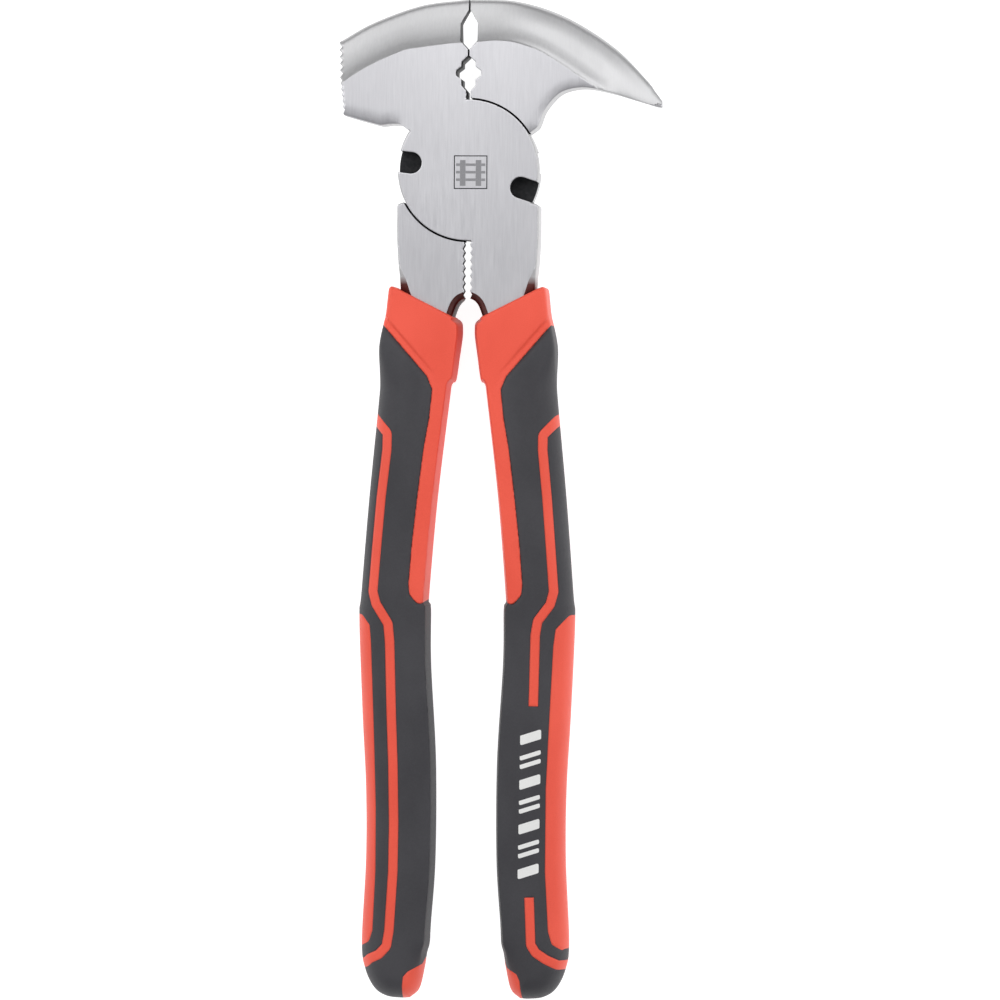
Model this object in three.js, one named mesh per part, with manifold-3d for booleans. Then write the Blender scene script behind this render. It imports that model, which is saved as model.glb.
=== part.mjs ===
// Fencing pliers lying on their back, in millimetres.
// +Z points out of the front face, +Y towards the head, +X to the claw side.
// The origin is on the pivot's axis, at the rear face of the joint.
//
// The front half holds the hammer, the front disc and the right handle.
// The rear half holds the claw, the rear disc and the left handle.
// Each handle carries a red grip core whose collar, stripes and bands stand up
// through windows in a soft dark cover. The two grips are one moulding used twice,
// turned half round about Y, so each has one face where its stripe is broken for a mark.

import * as THREE from 'three';
import { mergeVertices } from 'three/addons/utils/BufferGeometryUtils.js';
import Module from 'manifold-3d';

const wasm = await Module();
wasm.setup();

// Driving dimensions
const jointThickness = 14;
const midPlane = jointThickness / 2;
const discRadius = 18.8;
const gap = 0.3;
const through = 10;
const reach = 60;

const bevelDepth = 4.2;
const bevelHollow = { depth: 0.6, share: 0.72 };
const hornTipThickness = 4;
const jawGap = gap / 2;

const rivetRadius = 5;
const rivetHeadRadius = 7.6;
const rivetHeadDepth = 2.6;
const rivetHeadLand = 0.4;
const rivetLength = 12.2;

const notchRadius = 2.85;
const frontNotches = [{ angle: 173, depth: 6.3 }, { angle: -18.3, depth: 6.8 }];

const handleCoreWidth = 9;
const handleCoreThickness = 9;
const handleCoreEnd = -190;

const gripThickness = 17.6;
const collarThickness = 18.4;
const gripEnd = -221.5;
const gripStart = -26;
const coverThickness = 1.6;
const stripeWidth = 2.5;
const stripeBreak = [-194, -143];
const sectionRoundness = 2.7;
const collarShoulder = [-58, -44];
const tipSetback = 0.15;
const tipShare = 0.02;
const leastHalfSection = 0.8;

const discSides = 72;
const rivetSides = 40;
const sectionSides = 16;

const steel = { color: 0xc9c8cc, roughness: 0.35, metalness: 1 };
const rivetSteel = { color: 0xb4b4b8, roughness: 0.4, metalness: 1 };
const redRubber = { color: 0xe0503f, roughness: 0.45, metalness: 0 };
const greyRubber = { color: 0x45444a, roughness: 0.7, metalness: 0 };

// ---------------------------------------------------------------- solids

function solid(geometry) {
  const bare = geometry.clone();
  bare.deleteAttribute('normal');
  bare.deleteAttribute('uv');
  const merged = mergeVertices(bare, 1e-4);
  return new wasm.Manifold(new wasm.Mesh({
    numProp: 3,
    vertProperties: new Float32Array(merged.attributes.position.array),
    triVerts: new Uint32Array(merged.index.array),
  }));
}

function namedMesh(name, body, look) {
  const { vertProperties, triVerts } = body.getMesh();
  const geometry = new THREE.BufferGeometry();
  geometry.setAttribute('position', new THREE.BufferAttribute(vertProperties, 3));
  geometry.setIndex(new THREE.BufferAttribute(triVerts, 1));
  geometry.computeVertexNormals();
  const mesh = new THREE.Mesh(geometry, new THREE.MeshStandardMaterial(look));
  mesh.name = name;
  return mesh;
}

function points(pairs) {
  return pairs.map(([x, y]) => new THREE.Vector2(x, y));
}

function spline(pairs, divisions) {
  return new THREE.SplineCurve(points(pairs)).getPoints(divisions);
}

function mirrored(outline) {
  return outline.map((p) => new THREE.Vector2(-p.x, p.y));
}

function placed(outline, side) {
  return side > 0 ? outline : mirrored(outline);
}

function prism(outline, low, high) {
  const shape = new THREE.Shape(outline);
  const geometry = new THREE.ExtrudeGeometry(shape, { depth: high - low, bevelEnabled: false });
  return solid(geometry.translate(0, 0, low));
}

function throughPrism(outline) {
  return prism(outline, -through, jointThickness + through);
}

function disc(radius, low, high, sides) {
  const geometry = new THREE.CylinderGeometry(radius, radius, high - low, sides);
  return solid(geometry.rotateX(Math.PI / 2).translate(0, 0, (low + high) / 2));
}

// Rings with equal numbers of points, stacked so that each is anticlockwise seen from the last.
function stacked(rings, flatten) {
  const count = rings[0].length;
  const positions = rings.flat().flatMap((p) => [p.x, p.y, p.z]);
  const index = [];
  for (let k = 0; k < rings.length - 1; k += 1) {
    for (let j = 0; j < count; j += 1) {
      const next = (j + 1) % count;
      const a = k * count + j;
      const b = k * count + next;
      const c = (k + 1) * count + next;
      const d = (k + 1) * count + j;
      index.push(a, b, c, a, c, d);
    }
  }
  const last = (rings.length - 1) * count;
  for (const [a, b, c] of THREE.ShapeUtils.triangulateShape(rings[0].map(flatten), [])) {
    index.push(a, c, b);
  }
  for (const [a, b, c] of THREE.ShapeUtils.triangulateShape(rings.at(-1).map(flatten), [])) {
    index.push(last + a, last + b, last + c);
  }
  const geometry = new THREE.BufferGeometry();
  geometry.setAttribute('position', new THREE.Float32BufferAttribute(positions, 3));
  geometry.setIndex(index);
  return solid(geometry);
}

// A strip of constant width along a curve.
function ribbon(pairs, width, divisions) {
  const curve = new THREE.SplineCurve(points(pairs));
  const left = [];
  const right = [];
  for (let i = 0; i <= divisions; i += 1) {
    const at = curve.getPoint(i / divisions);
    const along = curve.getTangent(i / divisions);
    const across = new THREE.Vector2(-along.y, along.x).multiplyScalar(width / 2);
    left.push(at.clone().add(across));
    right.push(at.clone().sub(across));
  }
  return [...left, ...right.reverse()];
}

// Moves every side of an outline outwards by a distance.
function grown(outline, distance) {
  const turn = THREE.ShapeUtils.isClockWise(outline) ? -1 : 1;
  return outline.map((p, i) => {
    const before = outline[(i + outline.length - 1) % outline.length];
    const after = outline[(i + 1) % outline.length];
    const a = new THREE.Vector2(p.y - before.y, before.x - p.x).normalize();
    const b = new THREE.Vector2(after.y - p.y, p.x - after.x).normalize();
    const middle = a.add(b).normalize();
    const along = distance / Math.max(0.5, middle.dot(b));
    return p.clone().add(middle.multiplyScalar(turn * along));
  });
}

// ---------------------------------------------------------------- head

// The head's upper edge from beyond the hammer's face to beyond the claw's tip.
const headTop = [
  [-45, 29], [-34.3, 34.7], [-25.7, 39.5], [-12.9, 44.1], [0, 45.8],
  [12.9, 45.2], [25.7, 41.1], [38.6, 33.1], [47.2, 24.5], [52, 17.4],
];
// Where the ground flat of the front and rear faces ends and the bevel starts.
const flatTop = [
  [-45, 17], [-34.3, 24.3], [-18.8, 31.9], [-3.2, 34.5], [8, 34.8], [18.6, 32.4],
  [29, 26.3], [36, 21.8], [44.5, 18.6], [52, 16.4],
];
const headLevels = 28;

// One half of the jaw's edge, as distances from the jaw line at heights up the head.
const jawEdge = [
  [0.8, 16], [0.8, 21.3], [1.9, 22.6], [1.9, 24.3], [3.3, 25.2], [3.3, 26.6],
  [1.9, 27.5], [1.9, 28.8], [jawGap, 30.3], [jawGap, 32.2],
  [2.3, 34.4], [2.3, 39.3], [jawGap, 42.9], [jawGap, 50],
];

function serrated(from, to, count, depth) {
  const start = new THREE.Vector2(...from);
  const step = new THREE.Vector2(...to).sub(start).divideScalar(count);
  const inward = new THREE.Vector2(-step.y, step.x).normalize().multiplyScalar(depth);
  const edge = [];
  for (let i = 0; i < count; i += 1) {
    const tip = start.clone().addScaledVector(step, i);
    edge.push(tip, tip.clone().addScaledVector(step, 0.5).add(inward));
  }
  return edge;
}

// The shape that both heads are cut from: full thickness below the flat's edge,
// falling away in a hollow bevel to a thinner upper edge.
function headEnvelope() {
  const top = spline(headTop, headLevels);
  const flat = spline(flatTop, headLevels);
  const levels = [
    [0, 1], [bevelDepth * bevelHollow.depth, bevelHollow.share], [bevelDepth, 0],
    [jointThickness - bevelDepth, 0],
    [jointThickness - bevelDepth * bevelHollow.depth, bevelHollow.share], [jointThickness, 1],
  ];
  const rings = levels.map(([z, share]) => {
    const edge = top.map((p, i) => p.clone().lerp(flat[i], share)).reverse();
    const below = points([[-reach, edge.at(-1).y], [-reach, -reach], [reach, -reach], [reach, edge[0].y]]);
    return [...edge, ...below].map((p) => new THREE.Vector3(p.x, p.y, z));
  });
  return stacked(rings, (p) => new THREE.Vector2(p.x, p.y));
}

// How the claw thins towards its tip: distances out to the side, and what is taken off each face.
const hornThinning = [[30, -1], [31, 0], [42, 2.3], [52, midPlane - hornTipThickness / 2]];

function hornTaper() {
  const rear = hornThinning;
  const front = hornThinning.map(([x, off]) => [x, jointThickness - off]).reverse();
  const outline = points([[-reach, -1], ...rear, ...front, [-reach, jointThickness + 1]]);
  const slab = { depth: 2 * reach, bevelEnabled: false };
  const geometry = new THREE.ExtrudeGeometry(new THREE.Shape(outline), slab);
  return solid(geometry.rotateX(Math.PI / 2).translate(0, reach, 0));
}

function hammerOutline() {
  const jaw = points(jawEdge.map(([across, y]) => [-across, y]));
  return [
    ...jaw,
    ...points([[-40, 50]]),
    ...points([[-35.2, 35.5]]),
    ...serrated([-35.1, 34.6], [-34.6, 24.8], 5, 0.8),
    ...serrated([-34.5, 24.6], [-33.6, 15.4], 6, 0.45),
    ...points([[-33, 14.5], [-28.9, 13.3], [-23.6, 11.9], [-20.9, 12.2], [-18.4, 12.2], [-16, 10.7]]),
    ...points([[-12, 7], [-0.8, 7]]),
  ];
}

function clawOutline() {
  const jaw = points(jawEdge.map(([across, y]) => [across, y]));
  const underside = spline([
    [51.3, 17.2], [44.5, 18.9], [38.1, 20.8], [31.6, 22.1], [26.8, 21.6],
    [23.6, 20], [20.4, 16.2], [18.8, 12.2], [16, 9.8],
  ], 16);
  return [...jaw, ...points([[51.6, 50], [51.6, 17.6]]), ...underside, ...points([[12, 7], [0.8, 7]])];
}

// The bare part of a handle between the joint and the grip, on the right side.
function tangOutline() {
  const teeth = serrated([0.7, -18], [0.7, -34.4], 8, 0.55);
  const throat = spline([
    [0.7, -34.4], [1.9, -34.9], [2.9, -36.1], [3.6, -37.8], [4.2, -39.6], [5.2, -42],
  ], 6);
  return [
    ...points([[0.8, -12]]),
    ...teeth,
    ...throat,
    ...points([[17.4, -42], [18.1, -29], [18.5, -24.3], [18.9, -18.4], [18.9, -9.2], [12, -5]]),
  ];
}

const handleCentre = [
  [12.6, -36], [13.2, -52], [15.2, -68], [17.3, -87.5], [19.2, -113], [19.1, -132],
  [17.6, -158], [17.4, -175], [17.6, handleCoreEnd],
];

function handleCore(side, extra) {
  const outline = placed(ribbon(handleCentre, handleCoreWidth + 2 * extra, 20), side);
  const half = handleCoreThickness / 2 + extra;
  const end = disc(handleCoreWidth / 2 + extra, midPlane - half, midPlane + half, 24);
  const last = handleCentre.at(-1);
  return prism(outline, midPlane - half, midPlane + half).add(end.translate([side * last[0], last[1], 0]));
}

function handleSteel(side, extra) {
  const outline = grown(placed(tangOutline(), side), extra);
  return prism(outline, -extra, jointThickness + extra).add(handleCore(side, extra));
}

// A round-ended cutter notch in a disc's rim.
function notch(angle, depth, low, high) {
  const inner = discRadius - depth + notchRadius;
  const slot = prism(points([
    [inner, -notchRadius], [discRadius + 4, -notchRadius],
    [discRadius + 4, notchRadius], [inner, notchRadius],
  ]), low, high);
  const end = disc(notchRadius, low, high, 24).translate([inner, 0, 0]);
  return slot.add(end).rotate([0, 0, angle]);
}

function rivetProfile(extra) {
  return points([
    [0, -extra], [rivetHeadRadius + extra, -extra], [rivetHeadRadius + extra, rivetHeadLand],
    [rivetRadius + extra, rivetHeadDepth + extra], [rivetRadius + extra, rivetLength + extra],
    [0, rivetLength + extra],
  ]);
}

function rivet(extra) {
  return solid(new THREE.LatheGeometry(rivetProfile(extra), rivetSides).rotateX(Math.PI / 2));
}

function frontHalf() {
  const head = prism(hammerOutline(), 0, jointThickness).intersect(headEnvelope());
  let body = head.add(handleSteel(1, 0));
  body = body.subtract(disc(discRadius + gap, -1, midPlane + gap / 2, discSides));
  body = body.add(disc(discRadius, midPlane + gap / 2, jointThickness, discSides));
  for (const { angle, depth } of frontNotches) {
    body = body.subtract(notch(angle, depth, midPlane, jointThickness + 1));
  }
  return body.subtract(rivet(gap));
}

function rearHalf() {
  const head = prism(clawOutline(), 0, jointThickness).intersect(headEnvelope()).intersect(hornTaper());
  let body = head.add(handleSteel(-1, 0));
  body = body.subtract(disc(discRadius + gap, midPlane - gap / 2, jointThickness + 1, discSides));
  body = body.add(disc(discRadius, 0, midPlane - gap / 2, discSides));
  for (const { angle, depth } of frontNotches) {
    body = body.subtract(notch(180 - angle, depth, -1, midPlane));
  }
  return body.subtract(rivet(gap));
}

// ---------------------------------------------------------------- grips

// The right grip's sides seen from the front.
const gripOuter = [
  [21, -26], [21, -31], [22.5, -42.5], [23.5, -47], [23.6, -56], [24, -62], [26.5, -87.5], [28.5, -113],
  [29.2, -120], [28, -145], [26.9, -165], [26.9, -184], [28, -208], [26.4, -216], [22.6, -220.3],
  [17, -221.5],
];
const gripInner = [
  [1.6, -26], [1.6, -44], [2.5, -51], [5, -61.8], [8, -87.5], [10, -113], [9.6, -132], [8, -158],
  [8, -184], [9.4, -203], [10.4, -212], [12, -219.5], [14.5, -221.5],
];
const gripStations = 16;
const endSteps = [0, 0.4, 1.2, 2.6, 4.6];
const endRound = 7.5;
const stripeSteps = 26;

// A curve's X at a given Y, for a curve that runs steadily down in Y.
function acrossAt(curvePoints, y) {
  const i = Math.max(1, curvePoints.findIndex((p) => p.y <= y));
  const a = curvePoints[i - 1];
  const b = curvePoints[i];
  return a.x + ((b.x - a.x) * (y - a.y)) / (b.y - a.y);
}

function gripHalfThickness(y) {
  const shoulder = THREE.MathUtils.smoothstep(y, ...collarShoulder);
  const main = THREE.MathUtils.lerp(gripThickness, collarThickness, shoulder) / 2;
  const toEnd = Math.min(1, (y - gripEnd) / endRound);
  return main * Math.sqrt(Math.max(tipShare, 1 - (1 - toEnd) ** 2));
}

// The grip's outer form, or the same form drawn in by a distance.
function gripForm(side, inset) {
  const outer = spline(gripOuter, 120);
  const inner = spline(gripInner, 120);
  const low = gripEnd + tipSetback + inset;
  const stations = endSteps.map((step) => low + step);
  for (let k = 0; k <= gripStations; k += 1) {
    stations.push(THREE.MathUtils.lerp(low + endRound, gripStart, k / gripStations));
  }
  const rings = [];
  for (const y of stations) {
    const high = acrossAt(outer, y);
    const near = acrossAt(inner, y);
    const halfWidth = (high - near) / 2 - inset;
    const halfDepth = gripHalfThickness(y) - inset;
    const ring = [];
    for (let j = 0; j < sectionSides; j += 1) {
      const angle = (2 * Math.PI * j) / sectionSides;
      const round = (v) => Math.sign(v) * Math.abs(v) ** (2 / sectionRoundness);
      ring.push(new THREE.Vector3(
        side * (high + near) / 2 + Math.max(leastHalfSection, halfWidth) * round(Math.sin(angle)),
        y,
        midPlane + Math.max(leastHalfSection, halfDepth) * round(Math.cos(angle)),
      ));
    }
    rings.push(ring);
  }
  return stacked(rings, (p) => new THREE.Vector2(p.z, p.x));
}

// Red areas of the right grip, seen from the front; each goes right through to the back.
const collarArea = [
  [-6, -20], [34, -20], [34, -28], [10.9, -54.7], [9.4, -57.6], [9.9, -66], [11.4, -74.6],
  [13, -87.5], [14.4, -100.4], [15.2, -111], [14.9, -113.8], [12.2, -116.4], [9.2, -113.6], [-6, -113.6],
];
const stripePath = [
  [29, -64], [24.4, -67.7], [21, -70.9], [21, -76], [22.3, -87.5], [23.3, -100.4], [24.2, -112],
  [22.4, -118.3], [19.9, -123], [19.3, -140], [18.4, -165], [18.4, -187], [19.1, -202], [21.2, -208.4],
  [27, -212], [33, -214.4],
];
const sideBandArea = [
  [36, -118.6], [27.6, -118.7], [24.8, -121.6], [24.5, -134], [23.7, -155], [23.1, -170],
  [23.1, -184], [23.8, -198], [24.6, -204], [27.4, -206.8], [36, -207],
];
const endPatchArea = [
  [4, -208.5], [10.7, -209.6], [12.5, -213.3], [16.6, -215.6], [17, -230], [4, -230],
];

// The stripe, with its break on the front of the right grip or the back of the left one.
function stripeBody(side, extra) {
  const stripe = throughPrism(placed(ribbon(stripePath, stripeWidth + 2 * extra, stripeSteps), side));
  const [low, high] = stripeBreak;
  const face = points([[0, low + extra], [40, low + extra], [40, high - extra], [0, high - extra]]);
  const bottom = side > 0 ? midPlane : -through;
  return stripe.subtract(prism(placed(face, side), bottom, bottom + midPlane + through));
}

function redAreas(side, extra) {
  const areas = [collarArea, sideBandArea, endPatchArea].map((area) => grown(points(area), extra));
  return [...areas.map((area) => throughPrism(placed(area, side))), stripeBody(side, extra)];
}

function aboveCollar(side) {
  return throughPrism(placed(points([[34, -24.8], [-10, -45.8], [-10, 0], [34, 0]]), side));
}

function gripPieces(side) {
  const form = gripForm(side, 0).subtract(aboveCollar(side));
  const under = gripForm(side, coverThickness + gap);
  let raised = under;
  for (const area of redAreas(side, 0)) {
    raised = raised.add(form.intersect(area));
  }
  let soft = form.subtract(gripForm(side, coverThickness));
  for (const area of redAreas(side, gap)) {
    soft = soft.subtract(area);
  }
  const core = raised.subtract(aboveCollar(side)).subtract(handleSteel(side, gap));
  return { core, cover: soft };
}

// ---------------------------------------------------------------- assembly

const group = new THREE.Group();
group.add(namedMesh('front_half', frontHalf(), steel));
group.add(namedMesh('rear_half', rearHalf(), steel));
group.add(namedMesh('pivot_rivet', rivet(0), rivetSteel));
for (const [name, side] of [['right', 1], ['left', -1]]) {
  const pieces = gripPieces(side);
  group.add(namedMesh(`${name}_grip_core`, pieces.core, redRubber));
  group.add(namedMesh(`${name}_grip_cover`, pieces.cover, greyRubber));
}

export default group;
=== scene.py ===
"""Fencing pliers: fine surfaces, materials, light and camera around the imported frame."""
import math

import bpy
import numpy as np
from mathutils import Matrix, Vector
from mathutils.geometry import delaunay_2d_cdt


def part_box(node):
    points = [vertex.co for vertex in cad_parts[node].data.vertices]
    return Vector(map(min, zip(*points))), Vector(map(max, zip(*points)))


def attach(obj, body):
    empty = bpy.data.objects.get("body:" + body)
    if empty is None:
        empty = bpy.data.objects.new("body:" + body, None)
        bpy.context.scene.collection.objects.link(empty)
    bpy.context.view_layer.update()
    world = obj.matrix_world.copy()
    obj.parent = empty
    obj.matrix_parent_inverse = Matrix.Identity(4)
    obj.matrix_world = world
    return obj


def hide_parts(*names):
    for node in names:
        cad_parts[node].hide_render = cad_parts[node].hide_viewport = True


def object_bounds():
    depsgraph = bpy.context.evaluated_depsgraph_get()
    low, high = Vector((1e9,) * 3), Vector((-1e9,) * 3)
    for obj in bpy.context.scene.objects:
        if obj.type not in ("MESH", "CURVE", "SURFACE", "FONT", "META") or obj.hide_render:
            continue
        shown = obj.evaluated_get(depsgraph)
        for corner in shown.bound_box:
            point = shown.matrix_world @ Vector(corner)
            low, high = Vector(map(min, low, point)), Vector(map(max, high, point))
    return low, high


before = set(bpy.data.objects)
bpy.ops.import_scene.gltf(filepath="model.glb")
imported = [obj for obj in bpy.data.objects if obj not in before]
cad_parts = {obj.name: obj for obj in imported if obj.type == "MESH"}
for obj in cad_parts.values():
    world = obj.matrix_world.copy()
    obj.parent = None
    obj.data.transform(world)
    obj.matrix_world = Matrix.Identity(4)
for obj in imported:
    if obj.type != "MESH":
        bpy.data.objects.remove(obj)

CAD_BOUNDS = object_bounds()
MM = 0.001

# The frame's own sizes, in millimetres.
grip_low, grip_high = (np.array(corner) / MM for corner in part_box("right_grip_core"))
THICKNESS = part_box("front_half")[1].z / MM
MIDDLE = THICKNESS / 2
RIVET_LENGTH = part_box("pivot_rivet")[1].z / MM
RIVET_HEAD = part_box("pivot_rivet")[1].x / MM
FLOOR = CAD_BOUNDS[0][2]

# The joint discs, the recess round each, the gap where they lap, and the width of a sheer step.
DISC = 18.8
RECESS = DISC + 0.45
LAP_GAP = 0.15
STEP = 0.03
NOTCH_RADIUS = 2.85
# The angle and depth of the cutter notches in a disc's rim.
NOTCHES = ((173.0, 6.3), (-18.3, 6.8))
# Where the rim meets each head, and the arcs where one half runs round the other's disc.
CLAW_JOIN, HAMMER_JOIN = 148.5, 146.6
LOWER_GAP, UPPER_GAP = (206, 272.6), (31.5, 92.4)
SHANK = 5.0
SHANK_HOLE = 5.1
COUNTERSINK = RIVET_HEAD + 0.08
# How far below the surface the countersink ends and begins.
CONE_DEPTH, CONE_LAND = 2.7, 0.4
BLIND_HOLE_TOP = RIVET_LENGTH + 0.2
HANDLE_HALF_WIDTH = 4.5
HANDLE_HALF_DEPTH = 4.5
TANG_END = -41.7
BADGE_HALF = 4.35
BADGE_CENTRE = (0.7, -0.6)

# The sixth kind is dark steel with the red collars' reflection painted into its colour.
BRIGHT, BEVEL, DARK, ETCHED, SIDE, PAINTED_REFLECTION = range(6)


# ------------------------------------------------------------------ plan curves

def smooth_curve(points, step=0.5):
    """Points about a step apart on a smooth curve through the given ones."""
    p = np.array(points, float)
    ends = np.vstack([2 * p[0] - p[1], p, 2 * p[-1] - p[-2]])
    out = []
    for i in range(len(p) - 1):
        a, b, c, d = ends[i:i + 4]
        count = max(2, int(np.ceil(np.linalg.norm(c - b) / step)))
        t = np.arange(count)[:, None] / count
        out.append(0.5 * (2 * b + (c - a) * t + (2 * a - 5 * b + 4 * c - d) * t ** 2
                          + (3 * b - a - 3 * c + d) * t ** 3))
    return np.vstack(out + [p[-1:]])


def arc(radius, start, end, step=0.5, centre=(0.0, 0.0)):
    """Points on an arc from one angle to another, in degrees."""
    count = max(3, int(abs(math.radians(end - start)) * radius / step) + 1)
    angle = np.radians(np.linspace(start, end, count))
    return np.stack([centre[0] + radius * np.cos(angle), centre[1] + radius * np.sin(angle)], 1)


def divided(points, step=0.6):
    """A polyline with its long sides divided."""
    p = np.array(points, float)
    out = []
    for a, b in zip(p[:-1], p[1:]):
        count = max(1, int(np.ceil(np.linalg.norm(b - a) / step)))
        out.append(a + (b - a) * (np.arange(count)[:, None] / count))
    return np.vstack(out + [p[-1:]])


def filleted(points, radius, step=0.6, turns=7):
    """A polyline with its corners rounded, and its long sides divided."""
    p = np.array(points, float)
    out = [p[:1]]
    t = np.linspace(0, 1, turns)[:, None]
    for a, b, c in zip(p[:-2], p[1:-1], p[2:]):
        u, v = a - b, c - b
        long_u, long_v = np.linalg.norm(u), np.linalg.norm(v)
        u, v = u / long_u, v / long_v
        half = math.acos(np.clip(u @ v, -1, 1)) / 2
        cut = min(radius / max(math.tan(half), 0.05), 0.45 * long_u, 0.45 * long_v)
        out.append((1 - t) ** 2 * (b + u * cut) + 2 * t * (1 - t) * b + t ** 2 * (b + v * cut))
    return divided(np.vstack(out + [p[-1:]]), step)


def sides(line):
    return np.diff(line, axis=0)


def left_normals(line):
    """The leftward direction at each point of a polyline."""
    d = sides(line)
    d = d / np.maximum(np.linalg.norm(d, axis=1), 1e-9)[:, None]
    n = np.stack([-d[:, 1], d[:, 0]], 1)
    shut = np.allclose(line[0], line[-1])
    first = n[:1] + n[-1:] if shut else n[:1]
    both = np.vstack([first, n[1:] + n[:-1], first if shut else n[-1:]])
    return both / np.maximum(np.linalg.norm(both, axis=1), 0.3)[:, None]


def beside(line, distance):
    """A polyline moved to its left."""
    return line + left_normals(line) * distance


def nearest(points, line, reach=9.0):
    """Each point's distance to a polyline, no further than the reach."""
    gaps = np.full(len(points), float(reach) ** 2)
    for start in range(0, len(line) - 1, 16):
        a = line[start:start + 17][:-1]
        d = line[start + 1:start + 17] - a
        low = np.minimum(a, a + d).min(0) - reach
        high = np.maximum(a, a + d).max(0) + reach
        near = np.flatnonzero(((points > low) & (points < high)).all(1))
        q = points[near, None]
        t = np.clip(((q - a) * d).sum(2) / np.maximum((d ** 2).sum(1), 1e-12), 0, 1)
        gap = ((a + t[..., None] * d - q) ** 2).sum(2).min(1) if len(near) else np.zeros(0)
        gaps[near] = np.minimum(gaps[near], gap)
    return np.sqrt(gaps)


def inside(points, loop):
    """Whether each point is inside a closed polyline."""
    a, b = loop[:-1], loop[1:]
    found = np.zeros(len(points), bool)
    near = np.flatnonzero(((points > loop.min(0)) & (points < loop.max(0))).all(1))
    rise = np.where(np.abs(b[:, 1] - a[:, 1]) < 1e-12, 1e-12, b[:, 1] - a[:, 1])
    for start in range(0, len(near), 1500):
        some = near[start:start + 1500]
        x, y = points[some, :1], points[some, 1:]
        spans = (a[:, 1] > y) != (b[:, 1] > y)
        cross = a[:, 0] + (y - a[:, 1]) * (b[:, 0] - a[:, 0]) / rise
        found[some] = ((spans & (x < cross)).sum(1) % 2) == 1
    return found


def closed(*pieces):
    """One closed loop from pieces that follow each other, with no point twice."""
    points = np.vstack(pieces)
    keep = np.r_[True, np.linalg.norm(sides(points), axis=1) > 1e-4]
    points = points[keep]
    if np.linalg.norm(points[0] - points[-1]) < 1e-4:
        points = points[:-1]
    return np.vstack([points, points[:1]])


def ease(value):
    t = np.clip(value, 0, 1)
    return t * t * (3 - 2 * t)


def grid(low, high, step):
    """Staggered rows of points over a rectangle."""
    rows = np.arange(low[1], high[1], step * 0.87)
    columns = np.arange(low[0], high[0], step)
    x, y = np.meshgrid(columns, rows)
    x = x + (np.arange(len(rows)) % 2)[:, None] * step / 2
    return np.stack([x.ravel(), y.ravel()], 1)


def plan_mesh(loop, lines, loose, holes=()):
    """Triangles over a plan whose edges follow the loop and the lines."""
    points, edges = [], []
    for line in [loop, *holes, *lines]:
        shut = np.allclose(line[0], line[-1])
        body = line[:-1] if shut else line
        first = len(points)
        points.extend(body.tolist())
        edges.extend((first + i, first + i + 1) for i in range(len(body) - 1))
        if shut:
            edges.append((first + len(body) - 1, first))
    points.extend(loose.tolist())
    made = delaunay_2d_cdt([Vector(p) for p in points], edges, [], 0, 1e-4, False)
    plan = np.array([v[:] for v in made[0]], float)
    faces = np.array([f for f in made[2] if len(f) == 3], int)
    centres = plan[faces].mean(1)
    keep = inside(centres, loop)
    for hole in holes:
        keep &= ~inside(centres, hole)
    return plan, faces[keep]


def rim_of(faces):
    """The directed edges that only one face has."""
    edges = np.vstack([faces[:, [0, 1]], faces[:, [1, 2]], faces[:, [2, 0]]])
    have = {tuple(e) for e in edges.tolist()}
    return np.array([e for e in edges.tolist() if (e[1], e[0]) not in have], int)


def make_object(name, points, faces, materials, kinds=None, smooth_angle=32):
    """A mesh object from points in millimetres, with only the points its faces use."""
    used = np.unique(np.concatenate([np.asarray(f, int).ravel() for f in faces]))
    renumber = np.full(len(points), -1)
    renumber[used] = np.arange(len(used))
    mesh = bpy.data.meshes.new(name)
    polygons = [renumber[f].tolist() for group in faces for f in np.asarray(group, int)]
    mesh.from_pydata((points[used] * MM).tolist(), [], polygons)
    for material in materials:
        mesh.materials.append(material)
    if kinds is not None:
        mesh.polygons.foreach_set("material_index", np.concatenate(kinds).astype(np.int32))
    mesh.shade_smooth()
    mesh.set_sharp_from_angle(angle=math.radians(smooth_angle))
    mesh.validate()
    mesh.update()
    thing = bpy.data.objects.new(name, mesh)
    bpy.context.collection.objects.link(thing)
    return thing


# ------------------------------------------------------------------ steel halves

# Plan curves of a half with its head on the left and its tang on the right.
JAW = [(-0.6, 18.9), (-0.6, 21.1), (-1.9, 22.6), (-1.9, 24.2), (-3.35, 25.2), (-3.35, 26.5),
       (-1.9, 27.6), (-1.9, 28.8), (-0.2, 30.4), (-0.2, 32.2), (-2.3, 34.5), (-2.3, 39.3),
       (-0.2, 42.9), (-0.2, 45.8)]
HAMMER_CROWN = [(-0.2, 45.8), (-12.9, 44.1), (-25.7, 39.5), (-34.3, 34.7)]
CLAW_CROWN = [(-0.2, 45.8), (-12.9, 45.2), (-25.7, 41.1), (-38.6, 33.1), (-47.2, 24.5),
              (-49.7, 21.2), (-51.5, 18.8)]
HAMMER_UNDERSIDE = [(-33.4, 14.6), (-28.9, 13.3), (-23.6, 11.9), (-20.9, 12.25), (-18.4, 12.3),
                    (-15.75, 10.4)]
CLAW_UNDERSIDE = [(-50.4, 17.1), (-44.5, 18.9), (-38.1, 20.8), (-31.6, 22.1), (-26.8, 21.6),
                  (-23.6, 20), (-20.4, 16.2), (-18.95, 12.6), (-18.2, 11.3), (-16.1, 9.8)]
HAMMER_PLATE = [(-45, 14.8), (-39, 19.4), (-34.3, 22.8), (-29.5, 26.1), (-24.2, 29), (-18.8, 31.3),
                (-16.6, 32.1), (-13.4, 32.6), (-8.3, 33.3), (-3.2, 33.85), (6, 34.2)]
CLAW_PLATE = [(-36.5, 17.8), (-35, 20.9), (-33.6, 22.3), (-29, 25.4), (-23.9, 28.8), (-18.6, 31.9),
              (-12.6, 33.95), (-8, 34.5), (-4.8, 34.35), (-2, 34.1), (6, 33.6)]
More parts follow.
